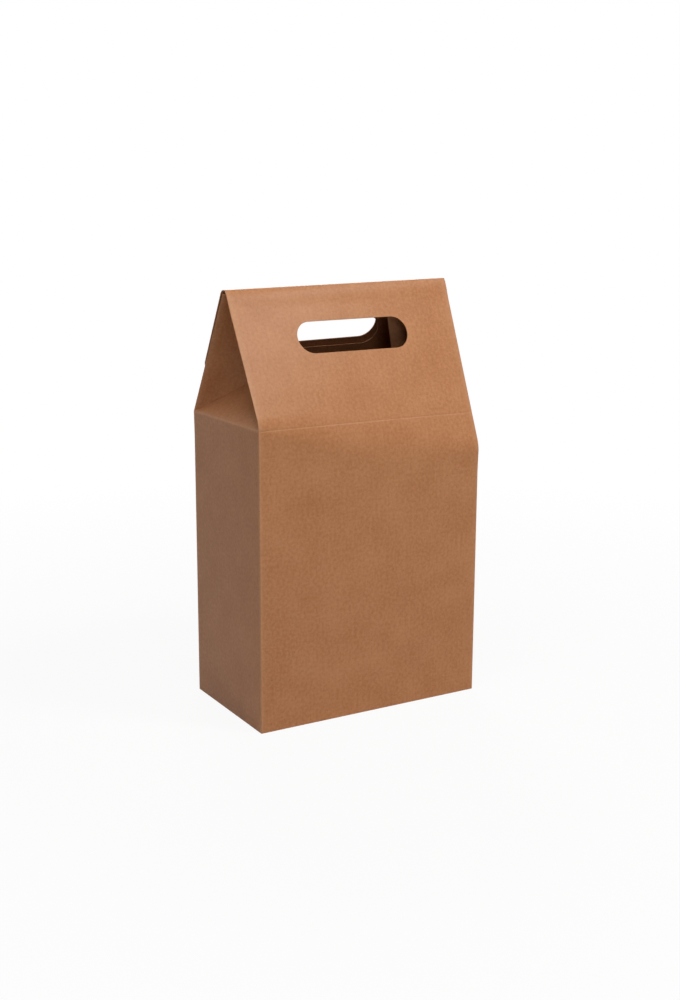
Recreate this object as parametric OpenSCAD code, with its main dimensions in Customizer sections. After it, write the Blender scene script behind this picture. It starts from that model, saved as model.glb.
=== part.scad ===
// Kraft gift carton with a gable roof, folded-in ends and a hand slot.
// One scored sheet makes the walls, the roof, the ends and the base. The front roof runs on over the
// ridge as a closing flap, which turns at the ridge crease and lies on the back roof.
// Origin at the middle of the base, on the floor. X runs along the front, Y to the back, Z up.

/* [Body] */
// Outside width of the front and back walls
body_w = 180; // [150:1:240]
// Outside depth of the side walls
body_d = 103; // [85:1:125]
// Height of the score line between the walls and the roof
body_h = 212.5; // [150:0.5:300]
// Thickness of the board
board = 0.6; // [0.4:0.1:1]
// Width of the glue tab behind the back wall
tab_w = 15; // [10:1:25]

/* [Roof] */
// Length of the front roof from the score line to the ridge crease
roof_l = 102.5; // [95:0.1:125]
// Width of the flat top between the ridge crease and the back slope
spine_w = 5.5; // [5:0.5:8]
// How far the back roof and the folded ends stop short of the ridge crease
tuck = 2.5; // [2:0.5:5]
// Height of the bend above the score line at the left edge of the front
bend_lift = 4.8; // [2:0.2:8]
// Drop of the bend below the score line at the right edge of the front
bend_drop = 24.6; // [5:0.2:35]
// Half length of the rounded bend at the edges of the front
bend_soft = 4.5; // [3:0.5:8]
// Half length of the rounded bend mid-way along the front
bend_mid = 14; // [8:0.5:20]

/* [Hand slot] */
// Length of the hand slot
slot_l = 91; // [75:1:100]
// Height of the hand slot
slot_h = 23.6; // [18:0.2:28]
// Distance from the ridge crease down the roof to the middle of the slot
slot_drop = 38; // [32:0.2:45]
// Shift of the front slot to the right
slot_shift = 1.5; // [-3:0.5:3]

/* [Folded ends] */
// Inward lean of the end triangles, from upright
end_lean = 50; // [42:1:56]
// How far the folded ends reach in at the ridge
end_reach = 50.5; // [44:0.5:56]
// Bow of the folded sheets between their creases
end_bow = 4; // [1:0.5:6]

/* [Closing flap] */
// Length of the closing flap from the ridge crease to its free edge
flap_l = 74; // [68:1:85]
// Radius of the bend where the flap turns down the back slope
flap_bend = 4.5; // [3:0.5:6]
// Radius of the two free corners
flap_corner = 10; // [4:1:18]
// How much higher the slot sits in the flap than in the back roof
flap_slot_rise = 2.7; // [0:0.1:6]
// Shift of the flap's slot to the left
flap_slot_shift = 2.2; // [-3:0.2:3]
// Turn of the flap's slot, in degrees, that lifts its right end
flap_slot_turn = 0.4; // [0:0.1:2]
// Gap between the flap and the back roof at the top of the slope
flap_lift = 1.2; // [0.8:0.1:2]
// Gap between the flap and the back roof at its free edge
flap_gap = 0.4; // [0.3:0.1:0.8]
// Gap between the flap and the ridge crease that it turns about
hinge_gap = 0.15; // [0.1:0.05:0.3]

/* [Base] */
// Length of the back base flap, which lies outermost
base_back = 58; // [50:1:64]
// Length of the front base flap, which lies innermost
base_front = 62; // [52:1:70]
// Length of the two side base flaps
base_side = 50; // [35:1:60]
// Width of the tongue that locks the base
tongue_w = 76; // [50:1:90]
// Length of the tongue past the back base flap
tongue_l = 24; // [18:1:28]
// Gap between the tongue and the notch it drops through
tongue_gap = 2; // [1:0.5:4]

/* [Hidden] */
kraft = [0.71, 0.51, 0.37];
columns = 12;
end_steps = 6;
turn_steps = 6;
slot_sides = 72;
bead_sides = 24;
cut_through = 30;
blunt = 1.5;
// How much thicker the ridge crease is than the board
crease_proud = 0.2;
// Overlap that joins the glue tab to the wall and the tongue to its flap
glue_bite = 0.1;
tongue_root = 2.4;
// Share of the tongue's length over which it climbs through the notch
tongue_climb = 0.6;
// Layers of the base, counted up from the floor
back_layer = 0;
side_layer = 1;
front_layer = 2;
tongue_layer = 3;

// Middle of the board in the walls
half_w = (body_w - board) / 2;
half_d = (body_d - board) / 2;
// Thickness of the bead along the ridge crease
crease_d = board + crease_proud;
// Height of the flat sheet at the ridge crease and at the tucked edges
sheet_h = body_h + roof_l;
tucked_h = sheet_h - tuck;

function mix(a, b, t) = a + (b - a) * t;
function unit(v) = v / norm(v);
function across(t) = mix(-half_w, half_w, t);

// Front bend: t runs from 0 at the left edge to 1 at the right edge
function bend_z(t) = body_h + mix(bend_lift, -bend_drop, t);
function bend_half(t) = mix(bend_soft, bend_mid, 4 * t * (1 - t));
function corner_z(t) = bend_z(t) - bend_half(t);

// Ridge crease, straight between its two ends
ridge_run = half_d - spine_w / 2;
function crease_height(t) = bend_z(t) + sqrt(pow(sheet_h - bend_z(t), 2) - pow(ridge_run, 2));
ridge_rise = crease_height(1) - crease_height(0);
ridge_pitch = atan2(ridge_rise, 2 * half_w);
function ridge(t) = [across(t), -spine_w / 2, crease_height(0) + ridge_rise * t];
function rear_ridge(t) = ridge(t) + [0, spine_w, 0];

// Point of the front at flat height s: wall, rounded bend, then a straight run to the ridge
function front_lean(t) = atan2(ridge_run, ridge(t).z - bend_z(t));
function bend_radius(t) = 2 * bend_half(t) / (front_lean(t) * PI / 180);
function bend_point(t, turn) =
    [across(t), -half_d + bend_radius(t) * (1 - cos(turn)), corner_z(t) + bend_radius(t) * sin(turn)];
function front_at(t, s) =
    let (past = s - corner_z(t), bend = 2 * bend_half(t))
    past < 0 ? [across(t), -half_d, s]
    : past < bend ? bend_point(t, front_lean(t) * past / bend)
    : mix(bend_point(t, front_lean(t)), ridge(t), (past - bend) / (sheet_h - corner_z(t) - bend));

// Back: its top edge lies under the flap by the lift and short of the ridge by the tuck
function back_slope(t) = atan2(half_d - spine_w / 2, ridge(t).z - body_h);
function back_top(t) =
    rear_ridge(t) + [0, tuck * tan(back_slope(t)) - (board + flap_lift) / cos(back_slope(t)), -tuck];
function back_foot(t) = [across(t), half_d, body_h];
function back_at(t, s) =
    s < body_h ? [across(t), half_d, s]
    : mix(back_foot(t), back_top(t), (s - body_h) / (tucked_h - body_h));
function back_lean(t) = atan2(half_d - back_top(t).y, back_top(t).z - body_h);

// Closing flap in the YZ plane at t: along the flat top, round the bend and down the back slope
function back_out(t) = [0, cos(back_lean(t)), sin(back_lean(t))];
function flap_room(t) = (rear_ridge(t) - back_top(t)) * back_out(t);
function flap_lean(t) = back_lean(t) - asin((flap_room(t) - board - flap_gap) / (flap_l - spine_w));
function flap_down(t) = [0, sin(flap_lean(t)), -cos(flap_lean(t))];
function flap_tangent(t) = flap_bend * tan((90 - flap_lean(t)) / 2);
function flap_turn(t, k) =
    let (turn = (90 - flap_lean(t)) * k / turn_steps)
    rear_ridge(t) + [0, flap_bend * sin(turn) - flap_tangent(t), flap_bend * (cos(turn) - 1)];
function flap_profile(t) = concat(
    [ridge(t) + [0, crease_d / 2 + hinge_gap, 0]],
    [for (k = [0:turn_steps]) flap_turn(t, k)],
    [rear_ridge(t) + flap_down(t) * (flap_l - spine_w)]);

// Folded end at side -1 or 1: an end triangle leans in, and two bowed sheets close above it
function end_t(side) = (side + 1) / 2;
function end_front(side) = [side * half_w, -half_d, corner_z(end_t(side))];
function end_back(side) = [side * half_w, half_d, body_h];
function end_corner(side, face) = face < 0 ? end_front(side) : end_back(side);
function end_middle(side) = (end_front(side) + end_back(side)) / 2;
function apex_s(side) = end_middle(side).z + half_d;
function end_apex(side) = end_middle(side) + half_d * [-side * sin(end_lean), 0, cos(end_lean)];
end_shift = end_reach - half_d * sin(end_lean);
function end_top(side) =
    end_apex(side) + [-side * end_shift, 0, sqrt(pow(tucked_h - apex_s(side), 2) - pow(end_shift, 2))];

// Rows of the sheet: row 0 is the fold round the walls, row end_steps passes the apex, the last is the top
last_row = 2 * end_steps;
function row_height(low, apex, top, i) =
    i <= end_steps ? mix(low, apex, i / end_steps) : mix(apex, top, i / end_steps - 1);
function front_row(t, i) =
    front_at(t, row_height(corner_z(t), mix(apex_s(-1), apex_s(1), t), sheet_h, i));
function back_row(t, i) =
    back_at(t, row_height(body_h, mix(apex_s(-1), apex_s(1), t), tucked_h, i));

// Point i, j of an end: j counts from the roof's edge to the middle, and i = j is the slanting crease
function end_edge(side, face, i) = face < 0 ? front_row(end_t(side), i) : back_row(end_t(side), i);
function end_crease(side, face, i) =
    i <= end_steps ? mix(end_corner(side, face), end_apex(side), i / end_steps)
    : mix(end_apex(side), end_top(side), i / end_steps - 1);
function bow_out(run, side, face) = unit([-side * abs(run.y), face * abs(run.x), 0]);
function bow_at(edge, crease, side, face, share, rise) =
    mix(edge, crease, share)
    + bow_out(crease - edge, side, face) * end_bow * sin(180 * share) * sin(180 * rise);
function end_at(side, face, i, j) =
    j == 0 ? end_edge(side, face, i)
    : i <= j
    ? mix(mix(end_corner(side, face), end_middle(side), j / end_steps), end_crease(side, face, j), i / j)
    : bow_at(end_edge(side, face, i), end_crease(side, face, i), side, face,
             j / min(i, end_steps), i / last_row);

// One turn round the sheet: front, right end, back, left end
function turn_of(front, end, back) = concat(
    [for (j = [0:columns]) front(j / columns)],
    [for (j = [1:end_steps]) end(1, -1, j)],
    [for (j = [end_steps - 1:-1:0]) end(1, 1, j)],
    [for (j = [columns - 1:-1:0]) back(j / columns)],
    [for (j = [1:end_steps]) end(-1, 1, j)],
    [for (j = [end_steps - 1:-1:1]) end(-1, -1, j)]);
function wall_foot(side, face, j) = [side * half_w, face * half_d * (1 - j / end_steps), 0];
foot_turn = turn_of(
    function (t) [across(t), -half_d, 0],
    function (side, face, j) wall_foot(side, face, j),
    function (t) [across(t), half_d, 0]);
function row_turn(i) = turn_of(
    function (t) front_row(t, i),
    function (side, face, j) end_at(side, face, i, j),
    function (t) back_row(t, i));
// Columns in which the slanting crease falls towards the next column
function falls(c) =
    let (right = columns + end_steps, left = 2 * columns + 3 * end_steps)
    (c >= right && c < right + end_steps) || (c >= left && c < left + end_steps);

// Outward direction of the panel on one side of a column's edge, between rows i and i + 1
function panel_out(g, i, c, step) =
    let (n = len(g[0]), other = (c + step + n) % n, slants = falls(step > 0 ? c : other),
         third = g[(step > 0) == slants ? i : i + 1][other])
    step * unit(cross(third - g[i][c], g[i + 1][c] - g[i][c]));
function beside(g, i, c, step) =
    unit(panel_out(g, max(i - 1, 0), c, step) + panel_out(g, min(i, len(g) - 2), c, step));

// Push from a grid's point to the face of the board, longer where two panels meet at a fold.
// The hollow side of a sharp fold takes the full mitre, and the other side stays blunt.
function push(g, i, c, way) =
    let (n = len(g[0]), left = beside(g, i, c, -1), right = beside(g, i, c, 1),
         out = unit(left + right), mitre = 1 / (out * left),
         hollow = (right - left) * (g[i][(c + 1) % n] - g[i][(c + n - 1) % n]) * way < 0)
    out * way * board / 2 * (hollow ? mitre : min(mitre, blunt));

// Board along a closed grid of rows: an outer face, an inner face and two rims
module tube(g) {
    m = len(g);
    n = len(g[0]);
    function id(i, c) = i * n + c % n;
    points = [for (way = [1, -1]) for (i = [0:m - 1]) for (c = [0:n - 1]) g[i][c] + push(g, i, c, way)];
    skin = [for (i = [0:m - 2]) for (c = [0:n - 1])
        let (a = id(i, c), b = id(i, c + 1), d = id(i + 1, c + 1), e = id(i + 1, c))
        each falls(c) ? [[a, e, b], [b, e, d]] : [[a, e, d], [a, d, b]]];
    rims = [for (c = [0:n - 1])
        let (a = id(0, c), b = id(0, c + 1), d = id(m - 1, c + 1), e = id(m - 1, c), in = m * n)
        each [[a, b, b + in], [a, b + in, a + in], [d, e, e + in], [d, e + in, d + in]]];
    lining = [for (f = skin) [f[0], f[2], f[1]] + m * n * [1, 1, 1]];
    polyhedron(points = points, faces = concat(skin, lining, rims), convexity = 10);
}

// Board along an open grid of rows
function held(list, i) = list[max(0, min(len(list) - 1, i))];
function square_to(g, i, j) =
    unit(cross(held(g[i], j + 1) - held(g[i], j - 1), held(g, i + 1)[j] - held(g, i - 1)[j]));
module sheet(g) {
    m = len(g);
    n = len(g[0]);
    points = [for (way = [1, -1]) for (i = [0:m - 1]) for (j = [0:n - 1])
        g[i][j] + square_to(g, i, j) * way * board / 2];
    skin = [for (i = [0:m - 2]) for (j = [0:n - 2])
        let (a = i * n + j, b = a + 1, d = b + n, e = a + n)
        each [[a, e, d], [a, d, b]]];
    rim = concat(
        [for (j = [0:n - 1]) j],
        [for (i = [1:m - 1]) i * n + n - 1],
        [for (j = [n - 2:-1:0]) (m - 1) * n + j],
        [for (i = [m - 2:-1:1]) i * n]);
    edges = [for (k = [0:len(rim) - 1])
        let (a = rim[k], b = rim[(k + 1) % len(rim)], in = m * n)
        each [[a, b, b + in], [a, b + in, a + in]]];
    lining = [for (f = skin) [f[0], f[2], f[1]] + m * n * [1, 1, 1]];
    polyhedron(points = points, faces = concat(skin, lining, edges), convexity = 10);
}

// Outline of the hand slot, with full round ends
module slot_outline() {
    square([slot_l - slot_h, slot_h], center = true);
    for (side = [-1, 1])
        translate([side * (slot_l - slot_h) / 2, 0]) circle(d = slot_h, $fn = slot_sides);
}

// Cut square to a slope that leans in by lean, with Y up the slope; the back slopes face the other way
module on_slope(at, lean, facing = 0)
    translate(at) rotate([0, -ridge_pitch, 0]) rotate([0, 0, facing]) rotate([90 - lean, 0, 0])
        linear_extrude(cut_through, center = true) children();

// Base with a locking tongue: back flap outside, side flaps next, front flap inside
module base_layer(layer, outline)
    translate([0, 0, layer * board]) linear_extrude(board) polygon(outline);

notch_w = tongue_w + 2 * tongue_gap;
notch_y = half_d - base_back - tongue_l / 2;
back_edge = half_d - base_back;
front_edge = base_front - half_d;
side_edge = half_w - base_side;
flap_end = half_w - 2 * board;
tongue_path = [
    [back_edge + tongue_root, back_layer],
    [back_edge - tongue_climb * tongue_l, tongue_layer],
    [back_edge - tongue_l, tongue_layer]];
module base() {
    base_layer(back_layer, [[-half_w, half_d], [half_w, half_d],
                            [flap_end, back_edge], [-flap_end, back_edge]]);
    for (side = [-1, 1])
        base_layer(side_layer, [[side * half_w, -half_d], [side * half_w, half_d],
                                [side * side_edge, half_d - base_side / 2],
                                [side * side_edge, base_side / 2 - half_d]]);
    base_layer(front_layer, [[-half_w, -half_d], [half_w, -half_d], [flap_end, front_edge],
                             [notch_w / 2, front_edge], [notch_w / 2, notch_y],
                             [-notch_w / 2, notch_y], [-notch_w / 2, front_edge], [-flap_end, front_edge]]);
    sheet([for (p = tongue_path)
        [for (side = [-1, 1]) [side * tongue_w / 2, p[0], p[1] * board + board / 2]]]);
}

// Tab of the right wall, glued to the inside of the back wall
module glue_tab()
    translate([half_w - tab_w, half_d - 1.5 * board, tab_w / 2])
        cube([tab_w, board + glue_bite, body_h - tab_w]);

module crease_bead()
    translate(ridge(0)) rotate([0, 90 - ridge_pitch, 0])
        cylinder(d = crease_d, h = norm(ridge(1) - ridge(0)), $fn = bead_sides);

module carton()
    color(kraft) {
        difference() {
            tube(concat([foot_turn], [for (i = [0:last_row]) row_turn(i)]));
            on_slope(ridge(0.5), front_lean(0.5)) translate([slot_shift, -slot_drop]) slot_outline();
            on_slope(back_top(0.5), back_lean(0.5), 180) translate([0, -slot_drop]) slot_outline();
        }
        crease_bead();
        glue_tab();
        base();
    }

module flap_corners()
    for (side = [-1, 1])
        translate([side * (body_w / 2 - flap_corner), spine_w - flap_l + flap_corner])
            difference() {
                translate([side > 0 ? 0 : -2 * flap_corner, -2 * flap_corner]) square(2 * flap_corner);
                circle(flap_corner, $fn = slot_sides);
            }

module closing_flap()
    color(kraft)
        difference() {
            sheet([for (k = [turn_steps + 2:-1:0])
                [for (j = [0:columns]) flap_profile(j / columns)[k]]]);
            on_slope(rear_ridge(0.5), flap_lean(0.5), 180) {
                translate([flap_slot_shift, flap_slot_rise - slot_drop])
                    rotate(-flap_slot_turn) slot_outline();
                flap_corners();
            }
        }

carton();
closing_flap();
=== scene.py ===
# %% [markdown]
# # A kraft gift carton with a hand slot
# The carton is one die-cut sheet of brown board, folded into a tall box with a gable roof. The packed
# model is loaded first, because every piece made here has to stand where that model says. Its box is
# kept.

# %% Load the imported model
import math
from collections import namedtuple

import bmesh
import bpy
import numpy as np
from mathutils import Matrix, Vector


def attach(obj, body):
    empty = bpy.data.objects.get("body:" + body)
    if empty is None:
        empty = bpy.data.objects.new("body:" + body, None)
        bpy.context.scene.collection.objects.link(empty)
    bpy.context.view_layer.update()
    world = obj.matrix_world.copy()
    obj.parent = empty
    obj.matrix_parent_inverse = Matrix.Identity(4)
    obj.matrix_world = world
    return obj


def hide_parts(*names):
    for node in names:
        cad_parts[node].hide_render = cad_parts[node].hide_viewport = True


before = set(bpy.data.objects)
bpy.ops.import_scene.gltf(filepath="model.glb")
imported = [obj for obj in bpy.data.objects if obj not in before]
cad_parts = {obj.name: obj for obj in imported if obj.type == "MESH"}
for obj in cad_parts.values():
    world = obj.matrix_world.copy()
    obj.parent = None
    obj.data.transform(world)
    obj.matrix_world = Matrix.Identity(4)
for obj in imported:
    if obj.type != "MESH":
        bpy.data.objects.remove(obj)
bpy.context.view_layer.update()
MM = 0.001


def new_object(name, data):
    made = bpy.data.objects.new(name, data)
    bpy.context.scene.collection.objects.link(made)
    return made


# %% [markdown]
# ## The camera
# The photograph was taken from the left of the front and a little above, with a lens of medium length.
# A lens is easiest to match as a focal length on a full-frame sensor, and the place as a point, an aim
# and a small roll. The picture is taller than wide, so the sensor's 36 mm lie along its height.

# %% Camera at the photograph's angle
CAMERA_PLACE = Vector((-0.4969, -0.8490, 0.3683))
CAMERA_AIM = Vector((-0.00199, -0.00832, 0.14848))
CAMERA_ROLL = math.radians(0.235)
LENS = 49.37
SENSOR = 36

camera = new_object("camera", bpy.data.cameras.new("camera"))
camera.data.lens = LENS
camera.data.sensor_width = SENSOR
looking = (CAMERA_AIM - CAMERA_PLACE).to_track_quat("-Z", "Y").to_matrix().to_4x4()
camera.matrix_world = Matrix.Translation(CAMERA_PLACE) @ looking @ Matrix.Rotation(CAMERA_ROLL, 4, "Z")
bpy.context.scene.camera = camera
print("camera", round((CAMERA_AIM - CAMERA_PLACE).length, 3), "m from its aim")

# %% [markdown]
# ## Sizes of the folded sheet
# These sizes drive the carton, in millimetres, and are the same as in the part's source. All other points
# follow from them, so the looks and the solids can't drift apart. Only the last four are of the looks
# alone: the back roof springs a little further from the flap, the front roof swells where it starts to
# roll over the ridge, and the notch of the base fits its tongue closely.

# %% Driving sizes
BODY_W = 180.0
BODY_D = 103.0
BODY_H = 212.5
BOARD = 0.6
TAB_W = 15.0
ROOF_L = 102.5
SPINE_W = 5.5
TUCK = 2.5
BEND_LIFT = 4.8
BEND_DROP = 24.6
BEND_SOFT = 4.5
BEND_MID = 14.0
SLOT_L = 91.0
SLOT_H = 23.6
SLOT_DROP = 38.0
SLOT_SHIFT = 1.5
END_LEAN = math.radians(50)
END_REACH = 50.5
END_BOW = 4.0
FLAP_L = 74.0
FLAP_BEND = 4.5
FLAP_CORNER = 10.0
FLAP_SLOT_RISE = 2.7
FLAP_SLOT_SHIFT = 2.2
FLAP_SLOT_TURN = math.radians(0.4)
FLAP_LIFT = 1.2
FLAP_GAP = 0.4
HINGE_GAP = 0.15
CREASE_PROUD = 0.2
BASE_BACK = 58.0
BASE_FRONT = 62.0
BASE_SIDE = 50.0
TONGUE_W = 76.0
TONGUE_L = 24.0
SPRING = 1.8
ROLL = 0.5
ROLL_L = 16.0
TONGUE_GAP = 0.05

half_w = (BODY_W - BOARD) / 2
half_d = (BODY_D - BOARD) / 2
half_board = BOARD / 2
sheet_h = BODY_H + ROOF_L
tucked_h = sheet_h - TUCK
crease_d = BOARD + CREASE_PROUD
print("flat height of the sheet", sheet_h, "mm")

# %% [markdown]
# ## How the sheet folds
# A folded sheet is a rule: it says where each point of the flat blank goes. Across the front, t runs
# from 0 at the left to 1 at the right, and s is the height on the flat blank. The board doesn't bend on
# its score line. It rolls over higher at the left and lower at the right, so each end has its own bend.

# %% Front, back and ridge
def mix(a, b, t):
    return a + (b - a) * t


def point(x, y, z):
    return np.array((x, y, z), float)


def unit(v):
    return v / np.linalg.norm(v)


def across(t):
    return mix(-half_w, half_w, t)


def bend_z(t):
    return BODY_H + mix(BEND_LIFT, -BEND_DROP, t)


def bend_half(t):
    return mix(BEND_SOFT, BEND_MID, 4 * t * (1 - t))


def corner_z(t):
    return bend_z(t) - bend_half(t)


ridge_run = half_d - SPINE_W / 2


def crease_height(t):
    return bend_z(t) + math.sqrt((sheet_h - bend_z(t)) ** 2 - ridge_run ** 2)


ridge_low = crease_height(0)
ridge_high = crease_height(1)
ridge_pitch = math.atan2(ridge_high - ridge_low, 2 * half_w)


def ridge(t):
    return point(across(t), -SPINE_W / 2, mix(ridge_low, ridge_high, t))


def rear_ridge(t):
    return ridge(t) + point(0, SPINE_W, 0)


def front_lean(t):
    return math.atan2(ridge_run, ridge(t)[2] - bend_z(t))


def bend_point(t, turn):
    radius = 2 * bend_half(t) / front_lean(t)
    inward = radius * (1 - math.cos(turn))
    return point(across(t), -half_d + inward, corner_z(t) + radius * math.sin(turn))


# The swell d * (1 - d) ** 2 is highest, at 4 / 27, a third of the way down
SWELL_PEAK = 4 / 27


def roll_swell(t, s):
    """Outward swell of the front roof, none at the ridge and none a roll's length below it."""
    down = min(1.0, (sheet_h - s) / ROLL_L)
    out = point(0, -math.cos(front_lean(t)), math.sin(front_lean(t)))
    return out * ROLL * down * (1 - down) ** 2 / SWELL_PEAK


def front_at(t, s):
    past = s - corner_z(t)
    bend = 2 * bend_half(t)
    if past < 0:
        return point(across(t), -half_d, s)
    if past < bend:
        return bend_point(t, front_lean(t) * past / bend)
    rest = (past - bend) / (sheet_h - corner_z(t) - bend)
    return mix(bend_point(t, front_lean(t)), ridge(t), rest) + roll_swell(t, s)


def back_top(t):
    slope = math.atan2(ridge_run, ridge(t)[2] - BODY_H)
    under = (BOARD + FLAP_LIFT) / math.cos(slope)
    return rear_ridge(t) + point(0, TUCK * math.tan(slope) - under, -TUCK)


def sprung_top(t):
    return back_top(t) - point(0, SPRING, 0)


def back_lean(t):
    return math.atan2(half_d - back_top(t)[1], back_top(t)[2] - BODY_H)


def back_at(t, s):
    if s < BODY_H:
        return point(across(t), half_d, s)
    return mix(point(across(t), half_d, BODY_H), sprung_top(t), (s - BODY_H) / (tucked_h - BODY_H))


print("ridge from", round(ridge_low, 2), "to", round(ridge_high, 2), "mm high")

# %% [markdown]
# ## The folded ends
# Each end of the roof folds in like the end of a paper bag. A triangle leans in from the side wall, and
# two sheets close above it between the roof panels. The rise runs from 0 at the wall's top over 1 at the
# triangle's tip to 2 at the top edge, and the share runs from 0 at the roof's edge to 1 at the middle.
# The two sheets bow a little, because board that is pressed in never lies quite flat.

# %% Points of a folded end
def end_corner(side, face):
    if face < 0:
        return point(side * half_w, -half_d, corner_z((side + 1) / 2))
    return point(side * half_w, half_d, BODY_H)


def end_middle(side):
    return (end_corner(side, -1) + end_corner(side, 1)) / 2


def apex_s(side):
    return end_middle(side)[2] + half_d


def end_apex(side):
    return end_middle(side) + half_d * point(-side * math.sin(END_LEAN), 0, math.cos(END_LEAN))


def end_top(side):
    t = (side + 1) / 2
    shift = END_REACH - half_d * math.sin(END_LEAN)
    pinch = (front_at(t, tucked_h)[1] + sprung_top(t)[1]) / 2
    climb = math.sqrt((tucked_h - apex_s(side)) ** 2 - shift ** 2 - pinch ** 2)
    return end_apex(side) + point(-side * shift, pinch, climb)


def row_height(low, apex, top, rise):
    return mix(low, apex, rise) if rise <= 1 else mix(apex, top, rise - 1)


def front_height(t, rise):
    return row_height(corner_z(t), mix(apex_s(-1), apex_s(1), t), sheet_h, rise)


def back_height(t, rise):
    return row_height(BODY_H, mix(apex_s(-1), apex_s(1), t), tucked_h, rise)


def roof_edge(side, face, rise):
    t = (side + 1) / 2
    return front_at(t, front_height(t, rise)) if face < 0 else back_at(t, back_height(t, rise))


def end_crease(side, face, rise):
    if rise <= 1:
        return mix(end_corner(side, face), end_apex(side), rise)
    return mix(end_apex(side), end_top(side), rise - 1)


def end_at(side, face, rise, share):
    if rise <= share:
        corner = end_corner(side, face)
        along = (share - rise) * (end_middle(side) - corner)
        return corner + along + rise * (end_apex(side) - corner)
    edge = roof_edge(side, face, rise)
    if share == 0:
        return edge
    crease = end_crease(side, face, rise)
    run = crease - edge
    out = unit(point(-side * abs(run[1]), face * abs(run[0]), 0))
    part = share / min(rise, 1)
    bow = END_BOW * math.sin(math.pi * part) * math.sin(math.pi * rise / 2)
    return mix(edge, crease, part) + out * bow


print("tips of the end triangles", np.round(end_apex(-1), 1), np.round(end_apex(1), 1))

# %% [markdown]
# ## Finishes
# Kraft board is unbleached brown paper pulp. All of its look is drawn by nodes, because a picture would
# repeat and blur. One small function adds a node with its settings and links, so that each finish below
# reads as a list of what it is made of. Another fills the sockets of a node that is already there. Colours
# are written as sRGB hex values and made linear once.

# %% Node helper and colours
def feed(tree, node, sockets):
    """Fills sockets. Each takes a value, another node's first output, or a given output."""
    for key, value in sockets.items():
        if isinstance(value, bpy.types.Node):
            value = value.outputs[0]
        if isinstance(value, bpy.types.NodeSocket):
            tree.links.new(value, node.inputs[key])
        else:
            node.inputs[key].default_value = value


def add(tree, kind, sockets=None, **settings):
    """Adds a node with its settings and links."""
    node = tree.nodes.new(kind)
    for name, value in settings.items():
        setattr(node, name, value)
    feed(tree, node, sockets or {})
    return node


def new_finish(name):
    """A new material, its tree and its shader."""
    material = bpy.data.materials.new(name)
    material.use_nodes = True
    return material, material.node_tree, material.node_tree.nodes["Principled BSDF"]


def linear(hex_colour):
    """Turns an sRGB hex value into linear red, green, blue and alpha."""
    parts = [int(hex_colour[k:k + 2], 16) / 255 for k in (1, 3, 5)]
    return [c / 12.92 if c <= 0.04045 else ((c + 0.055) / 1.055) ** 2.4 for c in parts] + [1.0]


def per_metre(size_mm):
    """Scale of a noise whose clouds are size_mm wide."""
    return 1 / (size_mm * MM)


MATH = "ShaderNodeMath"
KRAFT = linear("#BC8259")
KRAFT_PALE = linear("#C68D64")
KRAFT_DEEP = linear("#B1774F")
# Pale colour of worn folds, also used as the painted highlight of the upright folds and their bands
KRAFT_WORN_AND_HIGHLIT = linear("#D9AA88")
BARK = linear("#6A4127")
CORE = linear("#BE8E66")
print("kraft", [round(c, 3) for c in KRAFT[:3]])

# %% [markdown]
# ### The face of the board
# The pulp is pressed between rollers and left uncoated. To the eye that gives a quiet brown face with a
# faint sheen, soft clouds a few millimetres wide, weak streaks along the machine direction, and now and
# then a dark fleck of bark. Along a fold the top fibres stretch and look paler. On the upright folds and
# the bands beside them that paleness is partly wear and partly a painted highlight of the rounded fold.
# The pattern could follow the space around the box, but then it would break at every fold. It lies on a UV
# map that is the flat blank in metres, so it runs on over the folds as it does on the real sheet.

# %% Colour of the pulp
# Clouds and broad patches have about their real size. A fibre is only about 0.03 mm wide, so the
# streaks are drawn much wider than real ones, or they wouldn't show.
CLOUD_MM = 2.4
PATCH_MM = 24
STREAK_MM = 1.6
STREAK_STRETCH = 0.06
CLOUD_SHARE = 0.62
STREAK_SHARE = 0.12
PATCH_SHARE = 0.26
# Grain at which the pulp is deep, plain and pale
DEEP_AT, PLAIN_AT, PALE_AT = 0.32, 0.5, 0.68


def pulp(tree, flat):
    """Clouds, the grain of clouds, streaks and patches together, and the colour that the grain gives."""
    clouds = add(tree, "ShaderNodeTexNoise",
                 {"Vector": flat, "Scale": per_metre(CLOUD_MM), "Detail": 5.0, "Roughness": 0.65},
                 noise_dimensions="2D")
    patches = add(tree, "ShaderNodeTexNoise",
                  {"Vector": flat, "Scale": per_metre(PATCH_MM), "Detail": 2.0}, noise_dimensions="2D")
    along = add(tree, "ShaderNodeMapping", {"Vector": flat, "Scale": (1.0, STREAK_STRETCH, 1.0)})
    streaks = add(tree, "ShaderNodeTexNoise",
                  {"Vector": along, "Scale": per_metre(STREAK_MM), "Detail": 3.0}, noise_dimensions="2D")
    grain = add(tree, MATH, {0: clouds, 1: CLOUD_SHARE}, operation="MULTIPLY")
    grain = add(tree, MATH, {0: streaks, 1: STREAK_SHARE, 2: grain}, operation="MULTIPLY_ADD")
    grain = add(tree, MATH, {0: patches, 1: PATCH_SHARE, 2: grain}, operation="MULTIPLY_ADD")
    tint = add(tree, "ShaderNodeValToRGB", {"Fac": grain})
    tint.color_ramp.elements[0].position = DEEP_AT
    tint.color_ramp.elements[0].color = KRAFT_DEEP
    tint.color_ramp.elements[1].position = PALE_AT
    tint.color_ramp.elements[1].color = KRAFT_PALE
    tint.color_ramp.elements.new(PLAIN_AT).color = KRAFT
    return clouds, grain, tint


print("pulp with clouds of", CLOUD_MM, "mm")

# %% Bark flecks, and worn folds with a painted highlight
# Flecks are under a millimetre across, in about one cell of seven
FLECK_CELL_MM = 9
FLECK_CORE = 0.025
FLECK_RIM = 0.05
FLECK_RARE = 0.86
FLECK_SHARE = 0.4
WORN_AND_HIGHLIT_SHARE = 0.55
# Sockets of the Mix node for colours
COLOUR_A, COLOUR_B, COLOUR_OUT = 6, 7, 2


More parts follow.
